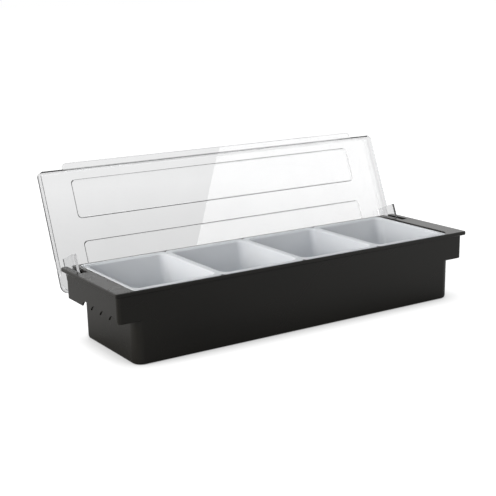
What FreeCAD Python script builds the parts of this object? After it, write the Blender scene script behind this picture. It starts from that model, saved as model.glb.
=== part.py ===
import FreeCAD, Part
import math
import os

# A bar condiment holder: a deep base that holds ice, four lift-out trays in a row, and a clear
# lid hinged at the back. Millimetres. X runs along the row of trays, Y from front to back and
# Z up. The origin is the middle of the base's underside, and the lid is drawn standing open.

# Base: the moulded tub with its lip
rim_length = 495.0
rim_depth = 143.5
base_height = 85.3
lip_overhang_end = 3.3
lip_overhang_front = 4.3
lip_overhang_back = 6.0
lip_height = 4.9
lip_corner_radius = 2.0
lip_edge_bevel = 0.8
base_wall = 2.2
base_floor = 2.6
wall_draft = 0.5
tub_corner_radius = 12.0
tub_bottom_radius = 3.5
well_bottom_bevel = 4.0
well_mouth_bevel = 0.8

# Base: the hollow grip that hangs from the lip at each end, with its row of finger arches
grip_reach = 18.8
grip_drop = 35.4
grip_corner_radius = 4.5
grip_edge_bevel = 0.6
flange_thickness = 2.6
finger_count = 4
finger_pitch = 22.6
finger_height = 7.0
finger_land = 0.4
finger_row_front = 2.2

# Hinge: the pin line, and the slot that each lid ear swings in
hinge_inset = 10.1
hinge_drop = 11.5
pin_radius = 3.0
pin_length = 3.6
pin_clearance = 0.06
pin_end_gap = 0.3
boss_radius = 4.6
boss_gap = 0.5
slot_width = 8.8
slot_clearance = 1.0
skirt_relief = 0.7
skirt_notch_depth = 4.0
open_angle = 112.0
stop_clearance = 2.1

# Lid
lid_end_inset = 0.9
lid_front_inset = 3.8
lid_thickness = 2.4
lid_skirt_depth = 9.5
lid_skirt_thickness = 2.0
lid_seat_gap = 0.2
lid_front_radius = 5.5
lid_rear_radius = 9.0
lid_edge_radius = 1.8
lid_inner_bevel = 1.0
panel_end_margin = 40.5
panel_front_margin = 12.0
panel_rear_margin = 10.5
panel_gap = 27.5
panel_corner_radius = 7.0
panel_rise = 1.0
panel_bevel = 0.9
handle_end_margin = 31.9
handle_reach = 8.2
handle_thickness = 2.2
handle_step = 3.0
handle_corner_radius = 5.0
handle_edge_bevel = 0.6
handle_root = 1.0
handle_root_radius = 0.5
ear_end_margin = 11.3
ear_thickness = 3.0
ear_ahead = 25.2
ear_radius = 14.8
ear_corner_radius = 1.5

# Trays: they hang by their rims in a row that has some play along the well and across it, and
# stand pushed up to the left end and the front
tray_count = 4
row_play = 11.0
back_play = 3.5
tray_gap = 0.4
tray_fit = 0.4
tray_rim_side = 3.2
tray_rim_front = 6.5
tray_rim_height = 0.8
tray_rim_radius = 5.5
tray_rim_edge_bevel = 0.4
tray_mouth_bevel = 1.6
tray_depth = 45.0
tray_wall = 1.6
tray_floor = 1.8
tray_floor_radius = 6.0
tray_side_slope = 2.0
tray_front_slope = 20.0

# How near two heights must be to count as the same level
level_match = 0.0001

# Places worked out from the sizes above
lean = math.tan(math.radians(wall_draft))
tub_half_y = (rim_depth - lip_overhang_front - lip_overhang_back) / 2
lip_front = -tub_half_y - lip_overhang_front
lip_rear = tub_half_y + lip_overhang_back
grip_half_x = rim_length / 2 - lip_overhang_end
tub_half_x = grip_half_x - grip_reach
grip_low = base_height - grip_drop
flange_low = base_height - flange_thickness
pivot_y = lip_rear - hinge_inset
pivot_z = base_height - hinge_drop
tray_top = base_height + tray_rim_height

lid_half_x = rim_length / 2 - lid_end_inset
lid_low = tray_top + lid_seat_gap
lid_top = lid_low + lid_skirt_depth
lid_front = lip_front + lid_front_inset
ear_mid_x = lid_half_x - ear_end_margin
ear_outer_x = ear_mid_x + ear_thickness / 2

row_half_x = tub_half_x - base_wall - tray_fit + tray_rim_side + tray_gap / 2
tray_pitch = (2 * row_half_x - row_play) / tray_count
tray_half_x = (tray_pitch - tray_gap) / 2
tray_wall_half_x = tray_half_x - tray_rim_side
tray_wall_half_y = tub_half_y - base_wall - tray_fit - back_play / 2
tray_half_y = tray_wall_half_y + tray_rim_front
tray_mid_y = -back_play / 2
tray_corner_radius = tub_corner_radius - base_wall + tray_fit


def lid_rear_place():
    """Where the lid's back edge lies when shut, so that it lands on the back wall when open."""
    turn = math.radians(open_angle)
    rise = lid_low - pivot_z
    wall_at_pin = tub_half_y - (hinge_drop - math.cos(turn) * rise) * lean
    push = wall_at_pin + stop_clearance - pivot_y - math.sin(turn) * rise
    return pivot_y + push / (math.cos(turn) + lean * math.sin(turn))


lid_rear = lid_rear_place()


def place(x, y, z):
    return FreeCAD.Vector(x, y, z)


def loop(half_x, front, rear, front_radius, rear_radius, z):
    """A level rectangle with round corners, as a closed wire."""
    corners = [
        (half_x, front, front_radius, -1, 1),
        (half_x, rear, rear_radius, -1, -1),
        (-half_x, rear, rear_radius, 1, -1),
        (-half_x, front, front_radius, 1, 1),
    ]
    arcs = []
    for index, (x, y, radius, inward_x, inward_y) in enumerate(corners):
        on_end = place(x, y + inward_y * radius, z)
        on_side = place(x + inward_x * radius, y, z)
        bulge = radius * (1 - math.sqrt(0.5))
        middle = place(x + inward_x * bulge, y + inward_y * bulge, z)
        first, last = (on_side, on_end) if index % 2 == 0 else (on_end, on_side)
        arcs.append(Part.Arc(first, middle, last).toShape())
    edges = []
    for index, arc in enumerate(arcs):
        following = arcs[(index + 1) % len(arcs)]
        edges.append(arc)
        edges.append(Part.LineSegment(arc.Vertexes[-1].Point, following.Vertexes[0].Point).toShape())
    return Part.Wire(edges)


def even_loop(half_x, half_y, radius, z):
    return loop(half_x, -half_y, half_y, radius, radius, z)


def upright_block(outline, height):
    return Part.Face(outline).extrude(place(0, 0, height))


def wedge_block(low_x, low_y, high_x, high_y, low, high):
    """A block with leaning walls, from its half sizes at two heights."""
    wedge = Part.makeWedge(-low_x, low, -low_y, -high_y, -high_x, low_x, high, low_y, high_y, high_x)
    wedge.rotate(place(0, 0, 0), place(1, 0, 0), 90)
    return wedge


def standing_edges(shape):
    """The edges of a block that run up from its foot to its top."""
    return [edge for edge in shape.Edges if edge.BoundBox.ZLength > shape.BoundBox.ZLength / 2]


def frustum(low_x, low_y, high_x, high_y, low, high, radius):
    """A block with leaning walls and round corners."""
    wedge = wedge_block(low_x, low_y, high_x, high_y, low, high)
    return wedge.makeFillet(radius, standing_edges(wedge))


def leaning_block(half_x, half_y, radius, low, high):
    """A block with the base's draft, whose half sizes are those at the level of the rim."""
    in_low = (base_height - low) * lean
    in_high = (base_height - high) * lean
    return frustum(half_x - in_low, half_y - in_low, half_x - in_high, half_y - in_high, low, high, radius)


def level_edges(shape, z):
    """The edges of a shape that lie flat at one height."""
    flat = []
    for edge in shape.Edges:
        if max(abs(edge.BoundBox.ZMin - z), abs(edge.BoundBox.ZMax - z)) < level_match:
            flat.append(edge)
    return flat


def round_level_edges(shape, z, radius):
    return shape.makeFillet(radius, level_edges(shape, z))


def bevel_level_edges(shape, z, bevel):
    return shape.makeChamfer(bevel, level_edges(shape, z))


def mouth_edges(shape, z, half_x, half_y):
    """The edges of an opening: the level edges at z that lie within the half sizes."""
    mouth = []
    for edge in level_edges(shape, z):
        middle = edge.BoundBox.Center
        if abs(middle.x) < half_x and abs(middle.y) < half_y:
            mouth.append(edge)
    return mouth


def box_between(low_corner, high_corner):
    size = high_corner - low_corner
    return Part.makeBox(size.x, size.y, size.z, low_corner)


def pin_line_rod(radius, start_x, length):
    """A cylinder along the hinge's pin line."""
    return Part.makeCylinder(radius, length, place(start_x, pivot_y, pivot_z), place(1, 0, 0))


def mirror_ends(shape):
    """The shape and its mirror image at the other end of the row."""
    return [shape, shape.mirror(place(0, 0, 0), place(1, 0, 0))]


# Base

def base_lip():
    radius = lip_corner_radius
    outline = loop(rim_length / 2, lip_front, lip_rear, radius, radius, base_height - lip_height)
    plate = upright_block(outline, lip_height)
    plate = bevel_level_edges(plate, base_height, lip_edge_bevel)
    return bevel_level_edges(plate, base_height - lip_height, lip_edge_bevel)


def base_tub():
    under_lip = base_height - lip_height / 2
    tub = leaning_block(tub_half_x, tub_half_y, tub_corner_radius, 0, under_lip)
    return round_level_edges(tub, 0, tub_bottom_radius)


def base_well():
    """The hollow inside the tub."""
    half_x = tub_half_x - base_wall
    half_y = tub_half_y - base_wall
    radius = tub_corner_radius - base_wall
    well = leaning_block(half_x, half_y, radius, base_floor, base_height + lip_height)
    return bevel_level_edges(well, base_floor, well_bottom_bevel)


def grip_block():
    under_lip = base_height - lip_height / 2
    block = leaning_block(grip_half_x, tub_half_y, grip_corner_radius, grip_low, under_lip)
    return bevel_level_edges(block, grip_low, grip_edge_bevel)


def grip_hollow(tub):
    """The finger spaces between the grips and the tub's ends, open underneath."""
    half_x = grip_half_x - base_wall
    half_y = tub_half_y - base_wall
    radius = grip_corner_radius - base_wall
    hollow = leaning_block(half_x, half_y, radius, grip_low - lip_height, flange_low)
    return hollow.cut(tub)


def finger_arches():
    """Cutters for the finger arches along the lower edge of one grip."""
    half_chord = (finger_pitch - finger_land) / 2
    radius = (half_chord ** 2 + finger_height ** 2) / (2 * finger_height)
    front = -tub_half_y + finger_row_front
    inner_x = grip_half_x - grip_reach / 2
    depth = rim_length / 2 - inner_x
    arches = []
    for number in range(finger_count):
        middle_y = front + (number + 0.5) * finger_pitch
        foot = place(inner_x, middle_y, grip_low + finger_height - radius)
        arches.append(Part.makeCylinder(radius, depth, foot, place(1, 0, 0)))
    return arches


def hinge_slot():
    """The cut in the flange and the back wall that one lid ear swings in."""
    turn = math.radians(open_angle)
    sweep = math.hypot(ear_ahead, ear_radius)
    reach = math.sqrt(sweep ** 2 - (flange_low - pivot_z) ** 2)
    along_ear = (tub_half_y - pivot_y - math.cos(turn) * ear_radius) / math.sin(turn)
    drop = math.sin(turn) * ear_radius - math.cos(turn) * along_ear
    front = pivot_y - reach - slot_clearance
    low = place(ear_mid_x - slot_width / 2, front, pivot_z - drop - slot_clearance)
    high = place(ear_mid_x + slot_width / 2, lip_rear + slot_clearance, base_height + slot_clearance)
    return box_between(low, high)


def hinge_boss():
    """The round boss inside one grip that carries the end of a hinge pin."""
    face_x = ear_outer_x + boss_gap
    inside_wall_x = grip_half_x - base_wall / 2
    return pin_line_rod(boss_radius, face_x, inside_wall_x - face_x)


def hinge_socket():
    return pin_line_rod(pin_radius + pin_clearance, ear_outer_x, pin_length + pin_end_gap)


def base():
    tub = base_tub()
    body = tub.fuse([grip_block(), base_lip()])
    body = body.cut([base_well(), grip_hollow(tub)]).removeSplitter()
    body = body.makeChamfer(well_mouth_bevel, mouth_edges(body, base_height, tub_half_x, tub_half_y))
    cuts = mirror_ends(hinge_slot())
    for arch in finger_arches():
        cuts.extend(mirror_ends(arch))
    body = body.cut(cuts)
    body = body.fuse(mirror_ends(hinge_boss()))
    return body.cut(mirror_ends(hinge_socket())).removeSplitter()


# Lid, drawn shut and then swung open

def lid_shell():
    outer = loop(lid_half_x, lid_front, lid_rear, lid_front_radius, lid_rear_radius, lid_low)
    shell = upright_block(outer, lid_top - lid_low)
    shell = round_level_edges(shell, lid_top, lid_edge_radius)
    skirt = lid_skirt_thickness
    inner = loop(
        lid_half_x - skirt,
        lid_front + skirt,
        lid_rear - skirt,
        lid_front_radius - skirt,
        lid_rear_radius - skirt,
        lid_low - lid_thickness,
    )
    inner_top = lid_top - lid_thickness
    hollow = upright_block(inner, inner_top - lid_low + lid_thickness)
    hollow = bevel_level_edges(hollow, inner_top, lid_inner_bevel)
    return shell.cut(hollow)


def panel_pad(front, rear, shrink, low):
    """A low pad with bevelled edges, which makes the raised panel or the hollow under it."""
    half_x = lid_half_x - panel_end_margin - shrink
    half_y = (rear - front) / 2 - shrink
    high = low + panel_rise
    bevel = panel_bevel
    pad = frustum(half_x, half_y, half_x - bevel, half_y - bevel, low, high, panel_corner_radius - shrink)
    pad.translate(place(0, (front + rear) / 2, 0))
    return pad


def lid_panels():
    """The two raised panels, each as a pad to add and a hollow to cut under it."""
    front = lid_front + panel_front_margin
    rear = lid_rear - panel_rear_margin
    width = (rear - front - panel_gap) / 2
    pads = []
    hollows = []
    for start in (front, rear - width):
        pads.append(panel_pad(start, start + width, 0.0, lid_top))
        hollows.append(panel_pad(start, start + width, panel_bevel, lid_top - lid_thickness))
    return pads, hollows


def lid_handle():
    """The lip along the lid's front edge that it is lifted by."""
    half_x = lid_half_x - handle_end_margin
    front = lid_front - handle_reach
    rear = lid_front + handle_root
    top = lid_top - handle_step
    outline = loop(half_x, front, rear, handle_corner_radius, handle_root_radius, top - handle_thickness)
    plate = upright_block(outline, handle_thickness)
    plate = bevel_level_edges(plate, top, handle_edge_bevel)
    return bevel_level_edges(plate, top - handle_thickness, handle_edge_bevel)


def lid_ear():
    """One ear: a plate that hangs from the lid and ends round the hinge pin."""
    inner_x = ear_mid_x - ear_thickness / 2
    top = lid_top - lid_thickness / 2
    low = pivot_z - ear_radius
    front = pivot_y - ear_ahead
    rear = pivot_y + ear_radius
    corner = ear_corner_radius
    bend = ear_radius * math.sqrt(0.5)
    tuck = corner * (1 - math.sqrt(0.5))
    top_front = place(inner_x, front, top)
    corner_high = place(inner_x, front, low + corner)
    corner_middle = place(inner_x, front + tuck, low + tuck)
    corner_low = place(inner_x, front + corner, low)
    under_pin = place(inner_x, pivot_y, low)
    behind_under = place(inner_x, pivot_y + bend, pivot_z - bend)
    behind_pin = place(inner_x, rear, pivot_z)
    top_rear = place(inner_x, rear, top)
    edges = [
        Part.LineSegment(top_front, corner_high).toShape(),
        Part.Arc(corner_high, corner_middle, corner_low).toShape(),
        Part.LineSegment(corner_low, under_pin).toShape(),
        Part.Arc(under_pin, behind_under, behind_pin).toShape(),
        Part.LineSegment(behind_pin, top_rear).toShape(),
        Part.LineSegment(top_rear, top_front).toShape(),
    ]
    plate = Part.Face(Part.Wire(edges)).extrude(place(ear_thickness, 0, 0))
    pin = pin_line_rod(pin_radius, ear_mid_x, ear_thickness / 2 + pin_length)
    return plate.fuse(pin)


def skirt_notch():
    """A round cutter about the pin line, which lets one end skirt swing past the base's lip."""
    radius = math.hypot(hinge_inset, hinge_drop) + skirt_relief
    return pin_line_rod(radius, lid_half_x - skirt_notch_depth, 2 * skirt_notch_depth)


def lid():
    pads, hollows = lid_panels()
    body = lid_shell().fuse(pads + [lid_handle()] + mirror_ends(lid_ear()))
    body = body.cut(hollows + mirror_ends(skirt_notch())).removeSplitter()
    body.rotate(place(0, pivot_y, pivot_z), place(1, 0, 0), -open_angle)
    return body


# Trays

def tray_wedge(inset, low, high):
    """The tray's body, or with an inset the space inside it, with sharp corners."""
    slope_x = math.tan(math.radians(tray_side_slope))
    slope_y = math.tan(math.radians(tray_front_slope))
    half_x = tray_wall_half_x - inset
    half_y = tray_wall_half_y - inset
    in_low = base_height - low
    in_high = base_height - high
    return wedge_block(
        half_x - in_low * slope_x,
        half_y - in_low * slope_y,
        half_x - in_high * slope_x,
        half_y - in_high * slope_y,
        low,
        high,
    )


def tray_rim():
    rim = upright_block(even_loop(tray_half_x, tray_half_y, tray_rim_radius, base_height), tray_rim_height)
    return bevel_level_edges(rim, tray_top, tray_rim_edge_bevel)


def tray_body():
    foot = tray_top - tray_depth - tray_floor
    body = tray_wedge(0.0, foot, base_height)
    return body.makeFillet(tray_corner_radius, standing_edges(body))


def tray_space():
    """The room inside the tray, with round corners and a floor rounded along each of its sides."""
    floor_top = tray_top - tray_depth
    space = tray_wedge(tray_wall, floor_top, tray_top)
    floor_edges = level_edges(space, floor_top)
    along = [edge for edge in floor_edges if edge.BoundBox.XLength > edge.BoundBox.YLength]
    across = [edge for edge in floor_edges if edge.BoundBox.XLength < edge.BoundBox.YLength]
    round_corners = space.makeFillet(tray_corner_radius - tray_wall, standing_edges(space))
    round_along = space.makeFillet(tray_floor_radius, along)
    round_across = space.makeFillet(tray_floor_radius, across)
    return round_corners.common(round_along).common(round_across)


def tray():
    """One tray, centred on X and Y, with its rim at the level of the base's lip."""
    shell = tray_rim().fuse(tray_body()).cut(tray_space()).removeSplitter()
    mouth = mouth_edges(shell, tray_top, tray_wall_half_x, tray_wall_half_y)
    return shell.makeChamfer(tray_mouth_bevel, mouth)


def tray_places():
    """The middles of the trays along X: the row is pushed up to the left end of the well."""
    return [(number + 0.5) * tray_pitch - row_half_x for number in range(tray_count)]


def parts():
    made = {"base": base(), "lid": lid()}
    for number, middle_x in enumerate(tray_places(), start=1):
        moved = tray()
        moved.translate(place(middle_x, tray_mid_y, 0))
        made["tray_%d" % number] = moved
    return made


os.makedirs("parts", exist_ok=True)
for name, shape in parts().items():
    box = shape.optimalBoundingBox()
    print(name, "valid", shape.isValid(), "solids", len(shape.Solids), "volume", round(shape.Volume),
          "box", [round(v, 1) for v in (box.XMin, box.XMax, box.YMin, box.YMax, box.ZMin, box.ZMax)])
    shape.exportStep("parts/%s.step" % name)
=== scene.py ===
import math

import bpy
from mathutils import Matrix, Vector


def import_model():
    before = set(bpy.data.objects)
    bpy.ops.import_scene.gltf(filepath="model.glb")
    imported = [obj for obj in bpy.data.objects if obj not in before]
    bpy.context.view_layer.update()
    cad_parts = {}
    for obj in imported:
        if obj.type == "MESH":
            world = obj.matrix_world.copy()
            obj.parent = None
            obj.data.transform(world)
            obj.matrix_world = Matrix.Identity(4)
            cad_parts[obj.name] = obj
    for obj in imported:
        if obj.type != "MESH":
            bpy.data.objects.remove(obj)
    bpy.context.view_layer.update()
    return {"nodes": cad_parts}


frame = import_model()

# A bar condiment holder on a white studio floor. Metres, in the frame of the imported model: X runs along the
# row of trays, Y from the front to the hinged back and Z up.

trays = ["tray_1", "tray_2", "tray_3", "tray_4"]

# Camera, fitted to the photograph's edges
camera_place = (-0.7086, -1.0479, 0.3872)
camera_heading = 32.60
camera_down = 13.38
camera_roll = -1.1685
camera_lens = 77.92
camera_sensor = 36.0
nearest_seen = 0.01
farthest_seen = 200.0

# Edge softening on the CAD nodes
weld_distance = 0.00001
flat_angle = 0.4
crease_angle = 24.0
base_edge = 0.0005
tray_edge = 0.0008
edge_segments = 3
flat_face_weight = 100

# All plastics: refractive index, the part of the cloud noise that is used, and the fine grain
plastic_index = 1.49
cloud_low = 0.3
cloud_high = 0.7
grain_detail = 2.0
grain_height = 0.0001

# Black plastic of the base
black_dark = (0.0080, 0.0070, 0.0048)
black_light = (0.0102, 0.0090, 0.0064)
black_cloud_scale = 9.0
black_cloud_detail = 3.0
black_roughness = (0.24, 0.30)
black_grain_scale = 1900.0
black_grain_strength = 0.10

# White plastic of the trays
white_dark = (0.662, 0.681, 0.708)
white_light = (0.700, 0.714, 0.732)
white_cloud_scale = 14.0
white_cloud_detail = 4.0
white_roughness = (0.40, 0.50)
white_grain_scale = 900.0
white_grain_strength = 0.05

# Clear plastic of the lid
clear_dark = (0.863, 0.865, 0.868)
clear_light = (0.882, 0.884, 0.887)
clear_cloud_scale = 25.0
clear_cloud_detail = 4.0
clear_wave_scale = 7.0
clear_wave_detail = 1.0
clear_wave_strength = 0.03
clear_wave_height = 0.002
clear_tint = (0.50, 0.50, 0.51, 1.0)
clear_tint_density = 18.0

# Floor as the camera sees it: a glow that grows away from the object, and two shadows painted into the glow.
# A shadow is full where the space above the floor is as shut as its first number says, and then has the level
# called glow.
floor_half = 40.0
floor_white = 0.34
floor_roughness = 0.9
glow_near = 0.25
glow_far = 1.0
floor_glow_near = 0.93
floor_glow_far = 1.0
contact_reach = 0.028
contact_shut = 0.5
contact_glow = 0.68
covered_shut = 0.15
covered_open = 0.55
covered_glow = 0.60

# Floor as the satin plastics mirror it, a painted reflection: lighter to the right and beside the ends, with
# painted shade near the foot
mirrored_x = (-0.1, 0.4)
mirrored_left = 0.29
mirrored_right = 0.54
mirrored_y = (-0.20, -0.06)
mirrored_corner = 0.10
mirrored_side = 0.46
foot_reach = 0.12
foot_shut = 0.45
foot_mirrored = 0.30
open_mirrored = 1.05

# Floor as it shows through the lid and in the lid's own reflections, with painted shade near the object
behind_near = 0.72
behind_far = 1.0

# Background: level for the camera and through the lid, levels in reflections, and level as a light
background = 1.0
mirrored_sky = (-0.6, 0.2)
mirrored_front = 0.40
mirrored_back = 1.0
ambient = 0.03

# Lamp colours and targets
neutral = (1.0, 1.0, 1.0)
warm = (1.0, 0.985, 0.965)
cool = (0.955, 0.98, 1.0)
middle = (0.0, 0.0, 0.05)
right_back = (0.139, 0.161, 0.055)

# Lamps: name, place, target, roll, width, height, radiance, colour, and whether surfaces mirror it
lamps = [
    ("softbox_front_right", (1.223, -1.178, 0.858), right_back, -40.0, 0.70, 0.80, 2.1, neutral, True),
    ("softbox_left", (-2.30, 0.24, 0.78), middle, 0.0, 1.57, 1.09, 9.5, warm, False),
    ("softbox_top", (0.10, 0.35, 1.90), middle, 0.0, 1.60, 1.20, 2.6, cool, True),
    ("softbox_front_low", (-1.10, -1.90, 0.50), middle, 0.0, 1.60, 0.80, 2.7, cool, True),
]


# Nodes

def new_material(name):
    """A node material, its node tree and its shader."""
    material = bpy.data.materials.new(name)
    material.use_nodes = True
    tree = material.node_tree
    shader = tree.nodes["Principled BSDF"]
    return material, tree, shader


def place_node(tree):
    return tree.nodes.new("ShaderNodeTexCoord").outputs["Object"]


def noise(tree, vector, scale, detail):
    node = tree.nodes.new("ShaderNodeTexNoise")
    node.inputs["Scale"].default_value = scale
    node.inputs["Detail"].default_value = detail
    tree.links.new(vector, node.inputs["Vector"])
    return node.outputs["Fac"]


def spread(tree, value, low, high, to_low, to_high):
    """Map one range of values to another, held at both ends."""
    node = tree.nodes.new("ShaderNodeMapRange")
    node.inputs["From Min"].default_value = low
    node.inputs["From Max"].default_value = high
    node.inputs["To Min"].default_value = to_low
    node.inputs["To Max"].default_value = to_high
    tree.links.new(value, node.inputs["Value"])
    return node.outputs["Result"]


def choose(tree, switch, off, on):
    """One of two values, each a float or a socket, by a switch of 0 or 1."""
    node = tree.nodes.new("ShaderNodeMix")
    node.data_type = "FLOAT"
    tree.links.new(switch, node.inputs["Factor"])
    for name, value in (("A", off), ("B", on)):
        if isinstance(value, float):
            node.inputs[name].default_value = value
        else:
            tree.links.new(value, node.inputs[name])
    return node.outputs["Result"]


def arithmetic(tree, operation, first, second):
    node = tree.nodes.new("ShaderNodeMath")
    node.operation = operation
    tree.links.new(first, node.inputs[0])
    tree.links.new(second, node.inputs[1])
    return node.outputs["Value"]


def length(tree, vector):
    node = tree.nodes.new("ShaderNodeVectorMath")
    node.operation = "LENGTH"
    tree.links.new(vector, node.inputs[0])
    return node.outputs["Value"]


def split(tree, vector):
    """A node that gives the X, Y and Z of a vector."""
    node = tree.nodes.new("ShaderNodeSeparateXYZ")
    tree.links.new(vector, node.inputs["Vector"])
    return node


def openness(tree, reach):
    """How free the space above a point is within a reach, from 0 when it is shut to 1 in the open."""
    node = tree.nodes.new("ShaderNodeAmbientOcclusion")
    node.inputs["Distance"].default_value = reach
    return node.outputs["AO"]


def two_colours(tree, clouds, dark, light):
    node = tree.nodes.new("ShaderNodeMix")
    node.data_type = "RGBA"
    node.inputs["A"].default_value = (*dark, 1.0)
    node.inputs["B"].default_value = (*light, 1.0)
    tree.links.new(spread(tree, clouds, cloud_low, cloud_high, 0.0, 1.0), node.inputs["Factor"])
    return node.outputs["Result"]


def bump(tree, height, strength, distance):
    node = tree.nodes.new("ShaderNodeBump")
    node.inputs["Strength"].default_value = strength
    node.inputs["Distance"].default_value = distance
    tree.links.new(height, node.inputs["Height"])
    return node.outputs["Normal"]


# Materials

def opaque_plastic(name, dark, light, cloud_scale, cloud_detail, roughness, grain_scale, grain_strength):
    """Moulded plastic with faint clouds in its colour and its gloss, and a fine grain."""
    material, tree, shader = new_material(name)
    where = place_node(tree)
    clouds = noise(tree, where, cloud_scale, cloud_detail)
    grain = noise(tree, where, grain_scale, grain_detail)
    gloss = spread(tree, clouds, cloud_low, cloud_high, *roughness)
    tree.links.new(two_colours(tree, clouds, dark, light), shader.inputs["Base Color"])
    tree.links.new(gloss, shader.inputs["Roughness"])
    tree.links.new(bump(tree, grain, grain_strength, grain_height), shader.inputs["Normal"])
    shader.inputs["IOR"].default_value = plastic_index
    return material


def black_plastic():
    """Satin black of the base."""
    return opaque_plastic("black_plastic", black_dark, black_light, black_cloud_scale, black_cloud_detail,
                          black_roughness, black_grain_scale, black_grain_strength)


def white_plastic():
    """Pale grey of the trays, with a soft sheen."""
    return opaque_plastic("white_plastic", white_dark, white_light, white_cloud_scale, white_cloud_detail,
                          white_roughness, white_grain_scale, white_grain_strength)


def clear_plastic():
    """Clear polished plastic of the lid, with a faint grey tint and slight waves."""
    material, tree, shader = new_material("clear_plastic")
    where = place_node(tree)
    waves = noise(tree, where, clear_wave_scale, clear_wave_detail)
    clouds = noise(tree, where, clear_cloud_scale, clear_cloud_detail)
    tree.links.new(two_colours(tree, clouds, clear_dark, clear_light), shader.inputs["Base Color"])
    shader.inputs["Roughness"].default_value = 0.0
    tree.links.new(bump(tree, waves, clear_wave_strength, clear_wave_height), shader.inputs["Normal"])
    shader.inputs["IOR"].default_value = plastic_index
    shader.inputs["Transmission Weight"].default_value = 1.0
    tint = tree.nodes.new("ShaderNodeVolumeAbsorption")
    tint.inputs["Color"].default_value = clear_tint
    tint.inputs["Density"].default_value = clear_tint_density
    tree.links.new(tint.outputs["Volume"], tree.nodes["Material Output"].inputs["Volume"])
    return material


def floor_material():
    """White floor with cast and painted shadows, and painted levels in reflections and through the lid."""
    material, tree, shader = new_material("floor_white")
    shader.inputs["Base Color"].default_value = (floor_white, floor_white, floor_white, 1.0)
    shader.inputs["Roughness"].default_value = floor_roughness
    shader.inputs["Specular IOR Level"].default_value = 0.0
    shader.inputs["Emission Color"].default_value = (1.0, 1.0, 1.0, 1.0)
    path = tree.nodes.new("ShaderNodeLightPath")
    where = place_node(tree)
    away = length(tree, where)
    open_above = openness(tree, foot_reach)

    # Glow for the camera alone, with painted shadows at the foot and under the grips
    glow = spread(tree, away, glow_near, glow_far, floor_glow_near, floor_glow_far)
    painted_contact_shadow = spread(tree, openness(tree, contact_reach), contact_shut, 1.0, contact_glow, 1.0)
    painted_cover_shadow = spread(tree, open_above, covered_shut, covered_open, covered_glow, 1.0)
    glow = arithmetic(tree, "MULTIPLY", glow, painted_contact_shadow)
    glow = arithmetic(tree, "MULTIPLY", glow, painted_cover_shadow)
    seen = choose(tree, path.outputs["Is Camera Ray"], 0.0, glow)
    tree.links.new(seen, shader.inputs["Emission Strength"])

    # Painted reflection level for the satin plastics, with painted shade near the foot
    parts = split(tree, where)
    along = spread(tree, parts.outputs["X"], *mirrored_x, mirrored_left, mirrored_right)
    across = spread(tree, parts.outputs["Y"], *mirrored_y, mirrored_corner, mirrored_side)
    painted_foot_shade = spread(tree, open_above, foot_shut, 1.0, foot_mirrored, open_mirrored)
    mirrored = arithmetic(tree, "MAXIMUM", along, across)
    mirrored = arithmetic(tree, "MULTIPLY", mirrored, painted_foot_shade)

    # Level at the polished lid, with painted shade near the object, and the choice between the levels
    behind = spread(tree, away, 0.0, glow_far, behind_near, behind_far)
    level = choose(tree, path.outputs["Is Singular Ray"], mirrored, behind)
    plain = tree.nodes.new("ShaderNodeEmission")
    tree.links.new(level, plain.inputs["Strength"])
    mix = tree.nodes.new("ShaderNodeMixShader")
    tree.links.new(path.outputs["Is Glossy Ray"], mix.inputs[0])
    tree.links.new(shader.outputs["BSDF"], mix.inputs[1])
    tree.links.new(plain.outputs["Emission"], mix.inputs[2])
    tree.links.new(mix.outputs["Shader"], tree.nodes["Material Output"].inputs["Surface"])
    return material


# Pieces

def soften(node, width):
    """Round the edges of a CAD node a little, with modifiers that leave its mesh alone."""
    weld = node.modifiers.new("weld", "WELD")
    weld.merge_threshold = weld_distance
    flat = node.modifiers.new("flat_faces", "DECIMATE")
    flat.decimate_type = "DISSOLVE"
    flat.angle_limit = math.radians(flat_angle)
    rounded = node.modifiers.new("round_edges", "BEVEL")
    rounded.width = width
    rounded.segments = edge_segments
    rounded.limit_method = "ANGLE"
    rounded.angle_limit = math.radians(crease_angle)
    rounded.use_clamp_overlap = True
    level = node.modifiers.new("flat_normals", "WEIGHTED_NORMAL")
    level.weight = flat_face_weight
    level.keep_sharp = True


def dress(node_name, material):
    node = frame["nodes"][node_name]
    node.data.materials.clear()
    node.data.materials.append(material)
    return node


# Stage

def floor():
    mesh = bpy.data.meshes.new("floor")
    corners = [
        (-floor_half, -floor_half, 0.0),
        (floor_half, -floor_half, 0.0),
        (floor_half, floor_half, 0.0),
        (-floor_half, floor_half, 0.0),
    ]
    mesh.from_pydata(corners, [], [(0, 1, 2, 3)])
    mesh.materials.append(floor_material())
    plane = bpy.data.objects.new("floor", mesh)
    bpy.context.scene.collection.objects.link(plane)


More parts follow.
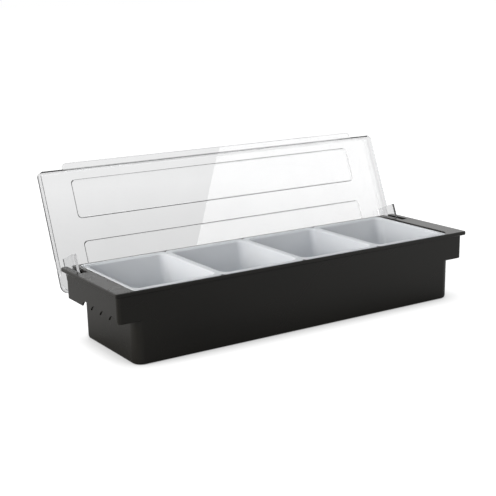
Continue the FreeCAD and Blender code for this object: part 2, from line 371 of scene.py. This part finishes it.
def world():
    """White for the camera and through the lid, darker to the front in reflections, dim as a light."""
    made = bpy.data.worlds.new("studio")
    made.use_nodes = True
    tree = made.node_tree
    shade = tree.nodes["Background"]
    shade.inputs["Color"].default_value = (1.0, 1.0, 1.0, 1.0)
    path = tree.nodes.new("ShaderNodeLightPath")
    parts = split(tree, tree.nodes.new("ShaderNodeTexCoord").outputs["Generated"])
    mirrored = spread(tree, parts.outputs["Y"], *mirrored_sky, mirrored_front, mirrored_back)
    steps = [
        ("Is Glossy Ray", mirrored),
        ("Is Transmission Ray", background),
        ("Is Camera Ray", background),
    ]
    strength = ambient
    for ray, level in steps:
        strength = choose(tree, path.outputs[ray], strength, level)
    tree.links.new(strength, shade.inputs["Strength"])
    bpy.context.scene.world = made


def lamp(name, place, target, roll, width, height, radiance, colour, mirrored):
    light = bpy.data.lights.new(name, "AREA")
    light.shape = "RECTANGLE"
    light.size = width
    light.size_y = height
    light.color = colour
    light.energy = radiance * math.pi * width * height
    lamp_object = bpy.data.objects.new(name, light)
    lamp_object.location = place
    aim = (Vector(target) - Vector(place)).to_track_quat("-Z", "Y").to_matrix()
    lamp_object.rotation_euler = (aim @ Matrix.Rotation(math.radians(roll), 3, "Z")).to_euler()
    lamp_object.visible_camera = False
    lamp_object.visible_glossy = mirrored
    bpy.context.scene.collection.objects.link(lamp_object)


def camera():
    heading = math.radians(camera_heading)
    down = math.radians(camera_down)
    roll = math.radians(camera_roll)
    ahead = Vector((
        math.sin(heading) * math.cos(down),
        math.cos(heading) * math.cos(down),
        -math.sin(down),
    ))
    level_right = Vector((math.cos(heading), -math.sin(heading), 0.0))
    level_up = level_right.cross(ahead)
    right = math.cos(roll) * level_right + math.sin(roll) * level_up
    up = math.cos(roll) * level_up - math.sin(roll) * level_right
    lens = bpy.data.cameras.new("camera")
    lens.lens = camera_lens
    lens.sensor_width = camera_sensor
    lens.clip_start = nearest_seen
    lens.clip_end = farthest_seen
    made = bpy.data.objects.new("camera", lens)
    turn = Matrix((right, up, -ahead)).transposed().to_4x4()
    made.matrix_world = Matrix.Translation(camera_place) @ turn
    bpy.context.scene.collection.objects.link(made)
    bpy.context.scene.camera = made


soften(dress("base", black_plastic()), base_edge)
dress("lid", clear_plastic())
tray_material = white_plastic()
for tray in trays:
    soften(dress(tray, tray_material), tray_edge)
floor()
world()
for each in lamps:
    lamp(*each)
camera()
bpy.context.scene.view_settings.view_transform = "Standard"
